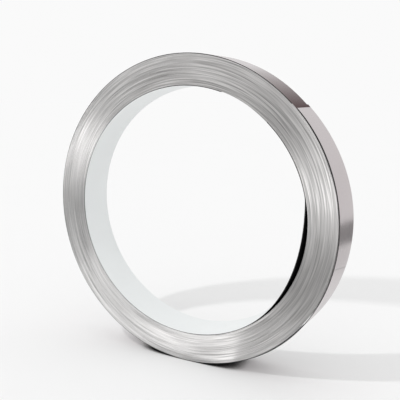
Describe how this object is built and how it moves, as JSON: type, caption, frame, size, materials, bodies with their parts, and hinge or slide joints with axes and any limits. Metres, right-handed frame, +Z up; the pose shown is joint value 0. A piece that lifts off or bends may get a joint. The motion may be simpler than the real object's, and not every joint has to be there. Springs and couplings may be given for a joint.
{
  "type": "aluminium channel letter coil",
  "caption": "Coil of flat aluminium strip for channel letter returns, wound into an open ring that stands on its rim.",
  "frame": {"origin": "on the floor under the coil's axis, in the middle of the strip's width", "axes": "+Z up, Y along the coil's axis with the end that faces -Y as the front, +X to the right seen from the front"},
  "size_m": [0.3961, 0.05, 0.3937],
  "materials": {
    "aluminium_strip": "satin"
  },
  "bodies": {
    "root": {"strip_coil": "aluminium_strip"}
  },
  "joints": []
}
